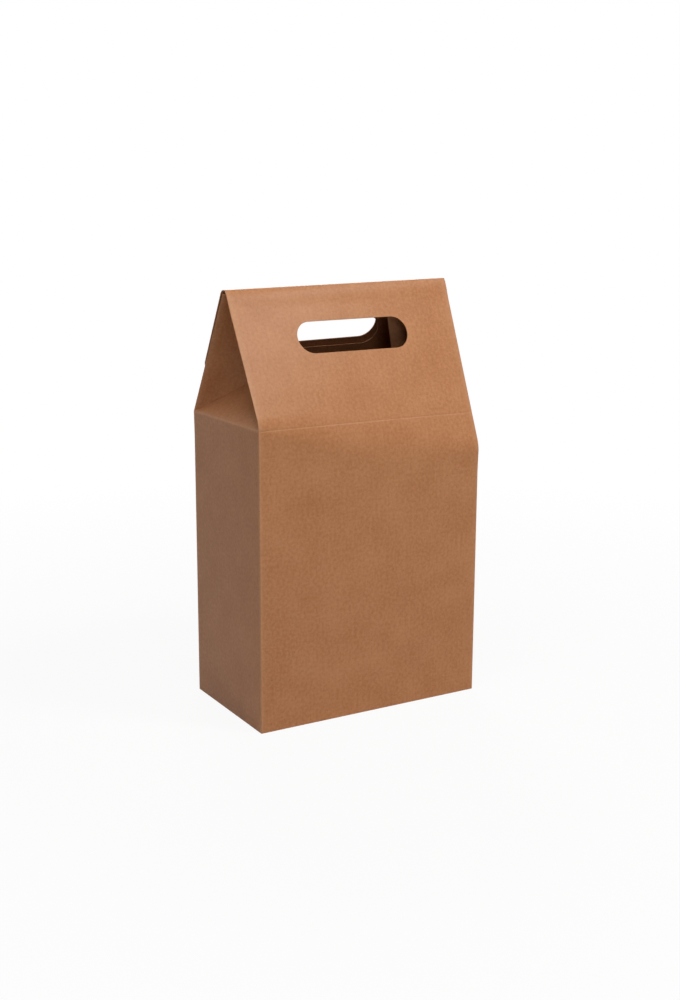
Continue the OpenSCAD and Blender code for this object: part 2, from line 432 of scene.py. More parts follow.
def with_flecks(tree, flat, colour):
    cells = add(tree, "ShaderNodeTexVoronoi",
                {"Vector": flat, "Scale": per_metre(FLECK_CELL_MM)}, voronoi_dimensions="2D")
    near = add(tree, "ShaderNodeMapRange",
               {"Value": cells.outputs["Distance"], "From Min": FLECK_CORE, "From Max": FLECK_RIM,
                "To Min": 1.0, "To Max": 0.0})
    pick = add(tree, "ShaderNodeSeparateColor", {"Color": cells.outputs["Color"]})
    rare = add(tree, MATH, {0: pick, 1: FLECK_RARE}, operation="GREATER_THAN")
    fleck = add(tree, MATH, {0: near, 1: rare}, operation="MULTIPLY")
    fleck = add(tree, MATH, {0: fleck, 1: FLECK_SHARE}, operation="MULTIPLY")
    return add(tree, "ShaderNodeMix", {0: fleck, COLOUR_A: colour, COLOUR_B: BARK},
               data_type="RGBA").outputs[COLOUR_OUT]


# Lays the pale colour on the folds: wear of the board, and on the upright folds and their bands partly a
# painted highlight
def with_worn_and_highlit_folds(tree, colour):
    wear_and_highlight = add(tree, "ShaderNodeAttribute", attribute_name="wear_and_highlight").outputs["Fac"]
    worn_and_highlit = add(tree, MATH, {0: wear_and_highlight, 1: WORN_AND_HIGHLIT_SHARE}, operation="MULTIPLY")
    return add(tree, "ShaderNodeMix", {0: worn_and_highlit, COLOUR_A: colour, COLOUR_B: KRAFT_WORN_AND_HIGHLIT},
               data_type="RGBA").outputs[COLOUR_OUT]


print("flecks in cells of", FLECK_CELL_MM, "mm")

# %% Calendered kraft board
# Rollers close the face a little, which gives the sheen. Air between the fibres keeps it faint, so the
# IOR is far below that of solid cellulose.
BOARD_IOR = 1.17
SMOOTHEST = 0.3
ROUGHEST = 0.4
FIBRE_HEIGHT = 0.04


def kraft_board():
    material, tree, shader = new_finish("calendered_kraft_board")
    flat = add(tree, "ShaderNodeUVMap", uv_map="flat")
    clouds, grain, tint = pulp(tree, flat)
    colour = with_worn_and_highlit_folds(tree, with_flecks(tree, flat, tint))
    rough = add(tree, "ShaderNodeMapRange", {"Value": clouds, "To Min": SMOOTHEST, "To Max": ROUGHEST})
    bump = add(tree, "ShaderNodeBump", {"Height": grain, "Distance": FIBRE_HEIGHT * MM, "Strength": 0.4})
    feed(tree, shader, {"Base Color": colour, "Roughness": rough, "Normal": bump, "IOR": BOARD_IOR})
    return material


kraft = kraft_board()
print("finish:", kraft.name, "with", len(kraft.node_tree.nodes), "nodes")

# %% [markdown]
# ### The cut edge
# A die cuts the board, and the cut shows the same pulp from the side: paler, rough and torn into short
# fibres. It is a finish of its own, so that the rims of the slots and of the flap stand out as thin pale
# lines.

# %% Die-cut edge of the board
# A torn end of fibres is drawn 0.8 mm wide, coarser than the real one, or it wouldn't show.
TORN_MM = 0.8
TORN_HEIGHT = 0.1
FACE_AT, CORE_AT = 0.3, 0.6


def cut_edge():
    material, tree, shader = new_finish("die_cut_kraft_edge")
    where = add(tree, "ShaderNodeTexCoord").outputs["Object"]
    fibres = add(tree, "ShaderNodeTexNoise",
                 {"Vector": where, "Scale": per_metre(TORN_MM), "Detail": 3.0})
    tint = add(tree, "ShaderNodeValToRGB", {"Fac": fibres})
    tint.color_ramp.elements[0].position = FACE_AT
    tint.color_ramp.elements[0].color = KRAFT
    tint.color_ramp.elements[1].position = CORE_AT
    tint.color_ramp.elements[1].color = CORE
    bump = add(tree, "ShaderNodeBump", {"Height": fibres, "Distance": TORN_HEIGHT * MM, "Strength": 0.6})
    feed(tree, shader, {"Base Color": tint, "Normal": bump, "Roughness": 0.85, "Specular IOR Level": 0.25})
    return material


core = cut_edge()
print("finish:", core.name)

# %% [markdown]
# ## The sheet as a grid
# A grid of rows and columns round the box could be folded by a modifier, but a sheet that closes on
# itself is easier to lay out in code: each column knows its panel, and each row its height. The folds
# get extra columns, which later become the small round of a fold. Rows close to the walls' top are
# averaged over a short stretch of board, which rounds that fold too.

# %% Columns and rows
END_STEPS = 30
TOP_STEPS = 26
FRONT_STEPS = 36
FOLD_STEPS = 6
ROUND = 0.9
NEAR_FOLD = (0.75, 1.5, 3.0)
NEAR_EDGE = (1.5, 4.0)
FOOT_ROW = 0.25
WALL_STEPS = 12
ROUND_PLACES = [k / 4 for k in range(-4, 5)]
# A share runs along the panel, and flat is the distance round the box on the flat blank
Column = namedtuple("Column", "panel side share flat fold")


def columns_of_sheet():
    """Columns of the front, the right end, the back and the left end."""
    found = []
    near = {q / BODY_W for q in NEAR_EDGE}
    steps = sorted({k / FRONT_STEPS for k in range(FRONT_STEPS + 1)} | near | {1 - t for t in near})
    shares = [k / END_STEPS for k in range(1, END_STEPS + 1)]
    start = 0.0
    for panel, side, face, places in (("front", 1, -1, steps), ("back", -1, 1, steps[::-1])):
        for t in places:
            along = t if panel == "front" else 1 - t
            found.append(Column(panel, 0, t, start + along * BODY_W, t in (0, 1)))
        start += BODY_W
        for share in shares:
            found.append(Column("end", (side, face), share, start + share * BODY_D / 2, share == 1))
        for share in shares[-2::-1]:
            found.append(Column("end", (side, -face), share, start + BODY_D - share * BODY_D / 2, False))
        start += BODY_D
    return found


def fold_height(column):
    panel, side, share = column[:3]
    if panel == "front":
        return corner_z(share)
    if panel == "back":
        return BODY_H
    return mix(end_corner(*side)[2], end_middle(side[0])[2], share)


def flat_height(column, step):
    """Height on the flat blank, at a step in millimetres under the walls' top or a rise above it."""
    panel, side, share = column[:3]
    if step < 0:
        return fold_height(column) + step
    if panel == "front":
        return front_height(share, step / half_d)
    if panel == "back":
        return back_height(share, step / half_d)
    return row_height(fold_height(column), apex_s(side[0]), tucked_h, step / half_d)


def sheet_point(column, step):
    """Point of the folded sheet at the same step."""
    panel, side, share = column[:3]
    if panel == "front":
        return front_at(share, flat_height(column, step))
    if panel == "back":
        return back_at(share, flat_height(column, step))
    if step < 0:
        return point(side[0] * half_w, side[1] * half_d * (1 - share), flat_height(column, step))
    return end_at(*side, step / half_d, share)


def rounded_point(column, step):
    """The same, averaged over the length of a rounded fold."""
    if column.panel == "front" or abs(step) > 2 * ROUND:
        return sheet_point(column, step)
    return sum(sheet_point(column, step + ROUND * k) for k in ROUND_PLACES) / len(ROUND_PLACES)


columns = columns_of_sheet()
rises = sorted({k / END_STEPS for k in range(END_STEPS + 1)} | {q / half_d for q in NEAR_FOLD})
rises += [1 + k / TOP_STEPS for k in range(1, TOP_STEPS + 1)]
wall_rows = [0.0, FOOT_ROW / BODY_H] + [k / WALL_STEPS for k in range(1, WALL_STEPS)]
print(len(columns), "columns,", len(wall_rows) + len(NEAR_FOLD) + len(rises), "rows")

# %% [markdown]
# ## Board with a thickness
# The sheet's two faces lie half a board to either side of the folded grid. At a fold the outer face goes
# round in a small arc. On the hollow side of a sharp fold two faces would run into each other, so there
# each face is held back to the plane half-way between the panels.

# %% Faces of the board
WALL_ROUND = 0.8
ROUND_ENDS = 12.0
FOOT_CHAMFER = 0.2
SAME_WAY = 1e-4


def units(vectors):
    return vectors / np.linalg.norm(vectors, axis=-1, keepdims=True)


def wall_radius(step):
    return WALL_ROUND * min(1.0, max(0.0, -step / ROUND_ENDS))


def between(left, right, share):
    """Direction that turns evenly from left to right."""
    angle = math.acos(max(-1.0, min(1.0, float(left @ right))))
    if angle < SAME_WAY:
        return left
    return (math.sin((1 - share) * angle) * left + math.sin(share * angle) * right) / math.sin(angle)


steps = np.array([[-(1 - f) * fold_height(c) for c in columns] for f in wall_rows]
                 + [[-q] * len(columns) for q in NEAR_FOLD[::-1]]
                 + [[rise * half_d] * len(columns) for rise in rises])
grid = np.array([[rounded_point(c, q) for c, q in zip(columns, row)] for row in steps])
row_count, column_count = grid.shape[:2]
upward = np.roll(grid, -1, axis=0) - np.roll(grid, 1, axis=0)
upward[0] = grid[1] - grid[0]
upward[-1] = grid[-1] - grid[-2]
to_right = np.roll(grid, -1, axis=1) - grid
from_left = grid - np.roll(grid, 1, axis=1)
normal_right = units(np.cross(to_right, upward))
normal_left = units(np.cross(from_left, upward))
middle_normal = units(normal_left + normal_right)
hollow = ((normal_right - normal_left) * (to_right + from_left)).sum(-1) < 0
print("grid of", row_count, "by", column_count, "points")

# %% Hollow side of the folds
BLUNT = 0.9
CLEAR = 0.96
push_out = np.full((row_count, column_count), half_board)
push_in = np.full((row_count, column_count), half_board)


def hold_back(row, fold):
    """Keeps the faces on the hollow side of a fold from crossing."""
    tight = float(middle_normal[row, fold] @ normal_left[row, fold])
    if tight > BLUNT:
        return
    gap = tight / math.sqrt(1 - tight * tight)
    push = push_out if hollow[row, fold] else push_in
    push[row, fold] = 0.0
    for way in (-1, 1):
        for k in range(1, END_STEPS):
            other = (fold + way * k) % column_count
            reach = CLEAR * gap * np.linalg.norm(grid[row, other] - grid[row, fold])
            if reach > half_board:
                break
            push[row, other] = min(push[row, other], reach)


folds = [k for k, c in enumerate(columns) if c.fold]
for row in range(row_count):
    for fold in folds:
        hold_back(row, fold)
push_out[0] -= FOOT_CHAMFER
print("board of", BOARD, "mm with", len(folds), "folds")

# %% Both faces at a point of the grid
def faces_at(row, column):
    """Outer and inner points of one grid point, several of each at a fold."""
    place = grid[row, column]
    out = push_out[row, column]
    inside = push_in[row, column]
    middle = middle_normal[row, column]
    if column not in folds:
        return [place + middle * out], [place - middle * inside]
    left = normal_left[row, column]
    turns = [between(left, normal_right[row, column], k / FOLD_STEPS) for k in range(FOLD_STEPS + 1)]
    radius = 0.0 if columns[column].panel == "end" else wall_radius(steps[row, column])
    centre = place - middle * radius / float(middle @ left)
    outer = [centre + n * (radius + out) for n in turns]
    if radius > half_board:
        return outer, [centre + n * (radius - half_board) for n in turns]
    return outer, [place - n * inside for n in turns]


print("a fold has", FOLD_STEPS + 1, "points on each face")

# %% [markdown]
# ## One closed mesh
# The two faces and their rims become one closed mesh. Each corner of a face also gets its place on the
# flat blank as a UV, and each point says how pale it is drawn, from 0 on a plain panel up to 0.6 on a
# fold:
# wear of the board, and on the upright folds and the bands beside them partly a painted highlight. A
# Solidify modifier could thicken the grid, but it crosses itself in the hollow of a sharp fold.

# %% Wear of the folds, with a painted highlight on the upright ones
# Upright folds and the bands beside them are drawn paler partly as a painted highlight of the rounded fold
FOLD_WEAR_AND_HIGHLIGHT = (0.3, 0.45, 0.55, 0.6, 0.55, 0.45, 0.3)
WALL_BAND = 2.0
ROOF_BAND = 4.5
BAND_WEAR_AND_HIGHLIGHT = 0.45
SIDE_FOLD_WEAR = 0.6
SIDE_FOLD_BAND = 1.2


def upright_fold_wear_and_highlight(column, step, k):
    """Wear and painted highlight of an upright fold. The middle of an end is folded only above its
    triangle.
    """
    folded = columns[column].panel != "end" or step > half_d
    return FOLD_WEAR_AND_HIGHLIGHT[k] if column in folds and folded else 0.0


def band_wear_and_highlight(column, step):
    """Wear and painted highlight of the band beside an upright fold, wider on the roof than on the walls.
    """
    away = min(abs(columns[column].flat - corner) for corner in corner_folds)
    return BAND_WEAR_AND_HIGHLIGHT * max(0.0, 1 - away / (ROOF_BAND if step > 0 else WALL_BAND))


def side_fold_wear(column, step):
    """Wear of the fold between a side wall, or the back wall, and what is above it."""
    if columns[column].panel == "front":
        return 0.0
    return SIDE_FOLD_WEAR * max(0.0, 1 - abs(step) / SIDE_FOLD_BAND)


round_length = 2 * (BODY_W + BODY_D)
corner_folds = (0.0, BODY_W, BODY_W + BODY_D, 2 * BODY_W + BODY_D, round_length)
print("wear is from 0 to", max(*FOLD_WEAR_AND_HIGHLIGHT, SIDE_FOLD_WEAR))

# %% Place on the flat blank
FOLD_FLAT = 1.4
spread = [(c, k) for c in range(column_count) for k in range(FOLD_STEPS + 1 if c in folds else 1)]
flat_x = [columns[c].flat + (k / FOLD_STEPS - 0.5) * FOLD_FLAT * (c in folds) for c, k in spread]
flat_x.append(flat_x[0] + round_length)
flat_y = [[flat_height(columns[c], steps[row, c]) for c, k in spread] for row in range(row_count)]
around = len(spread)
print("blank", round_length, "mm round, with", around, "points in a row")

# %% Points of both faces
mesh_maker = bmesh.new()
flat_layer = mesh_maker.loops.layers.uv.new("flat")
# Per point: wear of the board, and on upright folds and their bands partly a painted highlight
wear_and_highlight_layer = mesh_maker.verts.layers.float.new("wear_and_highlight")
height_layer = mesh_maker.verts.layers.float.new("height")
OUTER, INNER = 1, -1


def make_point(place, column, step, k):
    corner = mesh_maker.verts.new(place * MM)
    corner[wear_and_highlight_layer] = max(upright_fold_wear_and_highlight(column, step, k), band_wear_and_highlight(column, step),
                             side_fold_wear(column, step))
    corner[height_layer] = flat_height(columns[column], step)
    return corner


both = {OUTER: [], INNER: []}
for row in range(row_count):
    made = {OUTER: [], INNER: []}
    for column in range(column_count):
        for way, found in zip((OUTER, INNER), faces_at(row, column)):
            for k, place in enumerate(found):
                made[way].append(make_point(place, column, steps[row, column], k))
    for way in (OUTER, INNER):
        both[way].append(made[way])
print(len(mesh_maker.verts), "points of the folded sheet")

# %% Faces and rims
FACE, CUT = 0, 1


def face_of(points, flats, material=FACE):
    face = mesh_maker.faces.new(points)
    face.material_index = material
    face.smooth = True
    for loop, flat in zip(face.loops, flats):
        loop[flat_layer].uv = (flat[0] * MM, flat[1] * MM)
    return face


def splits(a, b, way):
    """Triangles of a four-cornered face of an end, or the whole face elsewhere."""
    if "end" not in (a.panel, b.panel):
        return ((0, 1, 2, 3),)
    if way == OUTER:
        return ((0, 1, 2), (0, 2, 3))
    return ((0, 1, 3), (1, 2, 3))


front_faces = []
for row in range(row_count - 1):
    for k in range(around):
        n = (k + 1) % around
        flats = [(flat_x[k], flat_y[row][k]), (flat_x[k + 1], flat_y[row][n]),
                 (flat_x[k + 1], flat_y[row + 1][n]), (flat_x[k], flat_y[row + 1][k])]
        a, b = columns[spread[k][0]], columns[spread[n][0]]
        order = [0, 1, 2, 3]
        if a.panel == "end" and b.panel == "end" and a.share > b.share:
            order = [1, 2, 3, 0]
        for way in (OUTER, INNER):
            low, high = both[way][row], both[way][row + 1]
            corners = (low[k], low[n], high[n], high[k])
            turned = order[::way]
            for part in splits(a, b, way):
                chosen = [turned[m] for m in part]
                face = face_of([corners[m] for m in chosen], [flats[m] for m in chosen])
                if way == OUTER and a.panel == "front" and b.panel == "front":
                    front_faces.append(face)
for k in range(around):
    n = (k + 1) % around
    flats = [(flat_x[k], 0), (flat_x[k], -BOARD), (flat_x[k + 1], -BOARD), (flat_x[k + 1], 0)]
    foot, lining_foot = both[OUTER][0], both[INNER][0]
    top, lining_top = both[OUTER][-1], both[INNER][-1]
    face_of([foot[k], lining_foot[k], lining_foot[n], foot[n]], flats)
    face_of([top[k], top[n], lining_top[n], lining_top[k]], flats, CUT)
print(len(mesh_maker.faces), "faces of the folded sheet")

# %% [markdown]
# ## The score line
# The press leaves a shallow groove between wall and roof, straight across the front. It is cut into the
# mesh: the front's faces are split along three flat heights, and the middle line is pressed in. They are
# made triangles first, because a triangle that is split leaves flat pieces.

# %% Groove across the front
SCORE_HALF = 0.6
SCORE_DEPTH = 0.14
SCORE_WEAR = 0.5
ON_LINE = 0.001


def split_faces(faces, level):
    """Splits faces along one flat height."""
    for edge in dict.fromkeys(e for face in faces for e in face.edges):
        a, b = edge.verts
        below, above = a[height_layer] - level, b[height_layer] - level
        if below * above < 0:
            made = bmesh.utils.edge_split(edge, a, below / (below - above))[1]
            made[height_layer] = level
    pieces = []
    for face in faces:
        on_line = [v for v in face.verts if abs(v[height_layer] - level) < ON_LINE]
        pieces.append(face)
        if len(on_line) == 2:
            cut = bmesh.utils.face_split(face, *on_line)[0]
            if cut is not None:
                pieces.append(cut)
    return pieces


front_faces = bmesh.ops.triangulate(mesh_maker, faces=front_faces)["faces"]
for level in (BODY_H - SCORE_HALF, BODY_H, BODY_H + SCORE_HALF):
    front_faces = split_faces(front_faces, level)
mesh_maker.normal_update()
front_points = dict.fromkeys(v for face in front_faces for v in face.verts)
score = [v for v in front_points if abs(v[height_layer] - BODY_H) < SCORE_HALF]
for corner in score:
    share = 1 - abs(corner[height_layer] - BODY_H) / SCORE_HALF
    corner.co -= corner.normal * SCORE_DEPTH * share * MM
    corner[wear_and_highlight_layer] = max(corner[wear_and_highlight_layer], SCORE_WEAR * share)
bmesh.ops.triangulate(mesh_maker, faces=front_faces)
print("score line of", len(score), "points")

# %% [markdown]
# ## The sheet as an object
# On the hollow side of a sharp fold all points of the arc fall together, so they are merged, and the faces
# that have no area go with them. The sheet then becomes an object with two finishes, the board's face
# and its cut edge.

# %% Sheet of the carton
SAME_POINT = 0.002 * MM
bmesh.ops.remove_doubles(mesh_maker, verts=mesh_maker.verts, dist=SAME_POINT)
carton = new_object("carton_sheet", bpy.data.meshes.new("carton_sheet"))
mesh_maker.to_mesh(carton.data)
mesh_maker.free()
carton.data.materials.append(kraft)
carton.data.materials.append(core)
print("sheet of", len(carton.data.polygons), "faces")

# %% [markdown]
# ## Hand slots by Geometry Nodes
# The slot is a rule: a rectangle with full round ends, cut square through the board. A node tree makes
# the die that cuts it, from named sizes, and takes it out of the board with a Mesh Boolean. The die
# carries the finish of the cut edge, so the walls of the slot come out pale. The sheet is cut alone,
# before the base is added, because a Boolean can lose bodies that touch each other.

# %% Die of a hand slot
# The arcs stop a hair short of half the height, so that no two of their points fall together
ROUND_END = 0.4999
ROUND_POINTS = 20


def slot_die(tree, sizes, place, turn):
    outline = add(tree, "GeometryNodeCurvePrimitiveQuadrilateral",
                  {"Width": sizes["Slot length"], "Height": sizes["Slot height"]})
    radius = add(tree, MATH, {0: sizes["Slot height"], 1: ROUND_END}, operation="MULTIPLY")
    rounded = add(tree, "GeometryNodeFilletCurve",
                  {"Curve": outline, "Radius": radius, "Count": ROUND_POINTS}, mode="POLY")
    blade = add(tree, "GeometryNodeFillCurve", {"Curve": rounded}, mode="NGONS")
    tall = add(tree, "GeometryNodeExtrudeMesh", {"Mesh": blade, "Offset Scale": sizes["Through"]})
    foot = add(tree, "GeometryNodeFlipFaces", {"Mesh": blade})
    both_ends = add(tree, "GeometryNodeJoinGeometry", {"Geometry": tall})
    feed(tree, both_ends, {0: foot})
    die = add(tree, "GeometryNodeMergeByDistance", {"Geometry": both_ends, "Distance": SAME_POINT})
    half = add(tree, MATH, {0: sizes["Through"], 1: -0.5}, operation="MULTIPLY")
    shift = add(tree, "ShaderNodeCombineXYZ", {"Z": half})
    die = add(tree, "GeometryNodeTransform", {"Geometry": die, "Translation": shift})
    die = add(tree, "GeometryNodeTransform", {"Geometry": die, "Translation": place, "Rotation": turn})
    return add(tree, "GeometryNodeSetMaterial", {"Geometry": die, "Material": sizes["Cut edge"]})


print("die for a slot of", SLOT_L, "by", SLOT_H, "mm")

# %% Tree that cuts the slots
def new_tree(name, inputs):
    """A tree with named inputs, given as kind and names, and one output of geometry."""
    tree = bpy.data.node_groups.new(name, "GeometryNodeTree")
    for kind, names in inputs.items():
        for input_name in names:
            tree.interface.new_socket(input_name, in_out="INPUT", socket_type="NodeSocket" + kind)
    tree.interface.new_socket("Board", in_out="OUTPUT", socket_type="NodeSocketGeometry")
    return tree


def cut_slot(tree, sizes, board, place, turn):
    die = slot_die(tree, sizes, place, turn)
    return add(tree, "GeometryNodeMeshBoolean", {"Mesh 1": board, "Mesh 2": die},
               operation="DIFFERENCE", solver="EXACT")


def finish_board(tree, sizes, board):
    """Ends a tree: no instances are left, and all but the cut edges get the kraft board."""
    real = add(tree, "GeometryNodeRealizeInstances", {"Geometry": board})
    cut = add(tree, "GeometryNodeMaterialSelection", {"Material": sizes["Cut edge"]})
    face = add(tree, "FunctionNodeBooleanMath", {0: cut}, operation="NOT")
    done = add(tree, "GeometryNodeSetMaterial",
               {"Geometry": real, "Selection": face, "Material": sizes["Kraft"]})
    add(tree, "NodeGroupOutput", {0: done})


slot_tree = new_tree("hand_slots", {
    "Geometry": ("Board",), "Float": ("Slot length", "Slot height", "Through"),
    "Vector": ("Front place", "Front turn", "Back place", "Back turn"), "Material": ("Kraft", "Cut edge")})
sizes = add(slot_tree, "NodeGroupInput").outputs
board = sizes["Board"]
for roof in ("Front", "Back"):
    board = cut_slot(slot_tree, sizes, board, sizes[roof + " place"], sizes[roof + " turn"])
finish_board(slot_tree, sizes, board)
print("tree of", len(slot_tree.nodes), "nodes")

# %% Slots of the sheet
DIE_DEPTH = 30.0


def run_tree(piece, tree, sizes):
    """Runs a tree on a piece and leaves a plain mesh."""
    modifier = piece.modifiers.new(tree.name, "NODES")
    modifier.node_group = tree
    for item in tree.interface.items_tree:
        if item.in_out == "INPUT" and item.name in sizes:
            modifier[item.identifier] = sizes[item.name]
    solved = piece.evaluated_get(bpy.context.evaluated_depsgraph_get())
    piece.data = bpy.data.meshes.new_from_object(solved)
    piece.modifiers.remove(modifier)
    piece.data.name = piece.name


def on_slope(at, lean, facing, shift, drop, turn=0.0):
    """Place and turn of a die on a roof panel that leans in."""
    roof = (Matrix.Translation(Vector(at) * MM) @ Matrix.Rotation(-ridge_pitch, 4, "Y")
            @ Matrix.Rotation(facing, 4, "Z") @ Matrix.Rotation(math.pi / 2 - lean, 4, "X"))
    whole = roof @ Matrix.Translation((shift * MM, -drop * MM, 0)) @ Matrix.Rotation(turn, 4, "Z")
    return tuple(whole.to_translation()), tuple(whole.to_euler("XYZ"))


slot_sizes = {"Slot length": SLOT_L * MM, "Slot height": SLOT_H * MM, "Through": DIE_DEPTH * MM,
              "Kraft": kraft, "Cut edge": core}
front_place, front_turn = on_slope(ridge(0.5), front_lean(0.5), 0.0, SLOT_SHIFT, SLOT_DROP)
back_place, back_turn = on_slope(back_top(0.5), back_lean(0.5), math.pi, 0.0, SLOT_DROP)
run_tree(carton, slot_tree, {**slot_sizes, "Front place": front_place, "Front turn": front_turn,
                             "Back place": back_place, "Back turn": back_turn})
print("sheet with slots:", len(carton.data.polygons), "faces, of",
      [material.name for material in carton.data.materials])

# %% [markdown]
# ## Base and glue tab
# Four flaps close the base: the back one lies outside, the side ones next, the front one inside, and a
# tongue of the back flap climbs through a notch and lies on the front flap. The glue tab lies inside the
# back wall. Each is a small closed piece of board, added to the sheet's mesh.

# %% Flaps of the base
TONGUE_CLIMB = 0.6
# On the flat blank, the base lies clear of the walls
UNDER = round_length + 50.0
BACK_LAYER, SIDE_LAYER, FRONT_LAYER, TONGUE_LAYER = range(4)
mesh_maker = bmesh.new()
mesh_maker.from_mesh(carton.data)
flat_layer = mesh_maker.loops.layers.uv["flat"]
wear_and_highlight_layer = mesh_maker.verts.layers.float["wear_and_highlight"]
inner_w = half_w - half_board
inner_d = half_d - half_board
flap_end = half_w - 2 * BOARD
back_edge = half_d - BASE_BACK
front_edge = BASE_FRONT - half_d
side_edge = half_w - BASE_SIDE
notch = TONGUE_W / 2 + TONGUE_GAP
notch_y = back_edge - TONGUE_L / 2


def board_piece(outline, low, tall=BOARD):
    """A closed piece of board over an outline, from a low height up."""
    rows = [[mesh_maker.verts.new(point(x, y, z) * MM) for x, y in outline] for z in (low, low + tall)]
    flats = [(UNDER + x, y) for x, y in outline]
    face_of(rows[0][::-1], flats[::-1])
    face_of(rows[1], flats)
    for k in range(len(outline)):
        n = (k + 1) % len(outline)
        side = [rows[0][k], rows[0][n], rows[1][n], rows[1][k]]
        face_of(side, [flats[k], flats[n], flats[n], flats[k]], CUT)


def bent_tongue(places):
    """A closed strip of board that climbs from layer to layer."""
    x0, x1 = -TONGUE_W / 2, TONGUE_W / 2
    rings = []
    for y, layer in places:
        low, high = layer * BOARD, (layer + 1) * BOARD
        ring = ((x0, low), (x1, low), (x1, high), (x0, high))
        rings.append([mesh_maker.verts.new(point(x, y, z) * MM) for x, z in ring])
    for here, there, (y0, _), (y1, _) in zip(rings, rings[1:], places, places[1:]):
        flats = [(UNDER + x0, y0), (UNDER + x1, y0), (UNDER + x1, y1), (UNDER + x0, y1)]
        for k in range(4):
            n = (k + 1) % 4
            face_of([here[k], here[n], there[n], there[k]], flats, CUT if k % 2 else FACE)
    face_of(rings[0][::-1], [(UNDER, places[0][0])] * 4, CUT)
    face_of(rings[-1], [(UNDER, places[-1][0])] * 4, CUT)


def base_flap(layer, outline):
    board_piece(outline, layer * BOARD)


base_flap(BACK_LAYER, [(-flap_end, back_edge), (flap_end, back_edge),
                       (inner_w, inner_d), (-inner_w, inner_d)])
base_flap(SIDE_LAYER, [(side_edge, BASE_SIDE / 2 - half_d), (inner_w, -inner_d),
                       (inner_w, inner_d), (side_edge, half_d - BASE_SIDE / 2)])
base_flap(SIDE_LAYER, [(-side_edge, half_d - BASE_SIDE / 2), (-inner_w, inner_d),
                       (-inner_w, -inner_d), (-side_edge, BASE_SIDE / 2 - half_d)])
base_flap(FRONT_LAYER, [(-inner_w, -inner_d), (inner_w, -inner_d), (flap_end, front_edge),
                        (notch, front_edge), (notch, notch_y), (-notch, notch_y),
                        (-notch, front_edge), (-flap_end, front_edge)])
climb = back_edge - TONGUE_CLIMB * TONGUE_L
bent_tongue([(back_edge, BACK_LAYER), (climb, TONGUE_LAYER), (back_edge - TONGUE_L, TONGUE_LAYER)])
board_piece([(inner_w - TAB_W, inner_d - BOARD), (inner_w, inner_d - BOARD),
             (inner_w, inner_d), (inner_w - TAB_W, inner_d)], TAB_W / 2, BODY_H - TAB_W)
print("base of", TONGUE_LAYER + 1, "layers")

# %% [markdown]
# ### The crease at the ridge
# The closing flap turns about a crease. On the real box that is the sheet itself, pressed thin. Here the
# flap is a body of its own, so a fine bead along the ridge fills the line that the flap turns about.

# %% Bead of the ridge crease
BEAD_SIDES = 24
BEAD_WEAR = 0.5


def bead_ring(t):
    ring = []
    for k in range(BEAD_SIDES):
        turn = 2 * math.pi * k / BEAD_SIDES
        place = ridge(t) + point(0, math.cos(turn), math.sin(turn)) * crease_d / 2
        corner = mesh_maker.verts.new(place * MM)
        corner[wear_and_highlight_layer] = BEAD_WEAR
        ring.append(corner)
    return ring


bead = [bead_ring(k / FRONT_STEPS) for k in range(FRONT_STEPS + 1)]
for step, (here, there) in enumerate(zip(bead, bead[1:])):
    x0, x1 = BODY_W * step / FRONT_STEPS, BODY_W * (step + 1) / FRONT_STEPS
    for k in range(BEAD_SIDES):
        n = (k + 1) % BEAD_SIDES
        rise = sheet_h + crease_d * k / BEAD_SIDES
        face_of([here[k], here[n], there[n], there[k]], [(x0, rise), (x0, rise), (x1, rise), (x1, rise)])
face_of(bead[0][::-1], [(0, sheet_h)] * BEAD_SIDES, CUT)
face_of(bead[-1], [(BODY_W, sheet_h)] * BEAD_SIDES, CUT)
mesh_maker.to_mesh(carton.data)
mesh_maker.free()
print("carton of", len(carton.data.polygons), "faces")

# %% [markdown]
# ## The closing flap by Geometry Nodes
# The front roof runs on over the ridge and down the back. That is a rule too: a flat top, a round bend,
# then straight down, a little steeper at one end than at the other, with the free corners rounded. The
# tree takes a plain grid and moves each point to where the rule puts it, then gives it the board's
# thickness and cuts the slot. The rows lie closer together towards the free edge, so the corners come
# out round. The rule is written as tables of sums. A row has a name, an operation and its terms, and a
# term is a number, an input of the tree or the name of a row above it.

# %% Grid and inputs of the flap
FLAP_COLUMNS = 61
FLAP_ROWS = 121
flap_tree = new_tree("closing_flap", {
    "Float": ("Half width", "Start", "Rear", "Left height", "Right height", "Left lean", "Right lean",
              "Bend radius", "Slope length", "Corner radius", "Thickness", "Flat start",
              "Slot length", "Slot height", "Through"),
    "Vector": ("Slot place", "Slot turn"), "Material": ("Kraft", "Cut edge")})
size = add(flap_tree, "NodeGroupInput").outputs
plain = add(flap_tree, "GeometryNodeMeshGrid", {"Size X": 1.0, "Size Y": 1.0,
                                                "Vertices X": FLAP_COLUMNS, "Vertices Y": FLAP_ROWS})
where = add(flap_tree, "ShaderNodeSeparateXYZ", {0: add(flap_tree, "GeometryNodeInputPosition")}).outputs
print("flap from a grid of", FLAP_COLUMNS, "by", FLAP_ROWS, "points")

# %% Lean and height at this place along the ridge
LEAN_SUMS = (
    ("along", "ADD", "X", 0.5),
    ("down", "ADD", "Y", 0.5),
    ("lean gain", "SUBTRACT", "Right lean", "Left lean"),
    ("lean", "MULTIPLY_ADD", "lean gain", "along", "Left lean"),
    ("height gain", "SUBTRACT", "Right height", "Left height"),
    ("height", "MULTIPLY_ADD", "height gain", "along", "Left height"),
    ("turn", "SUBTRACT", math.pi / 2, "lean"))
print(len(LEAN_SUMS), "sums for lean and height")

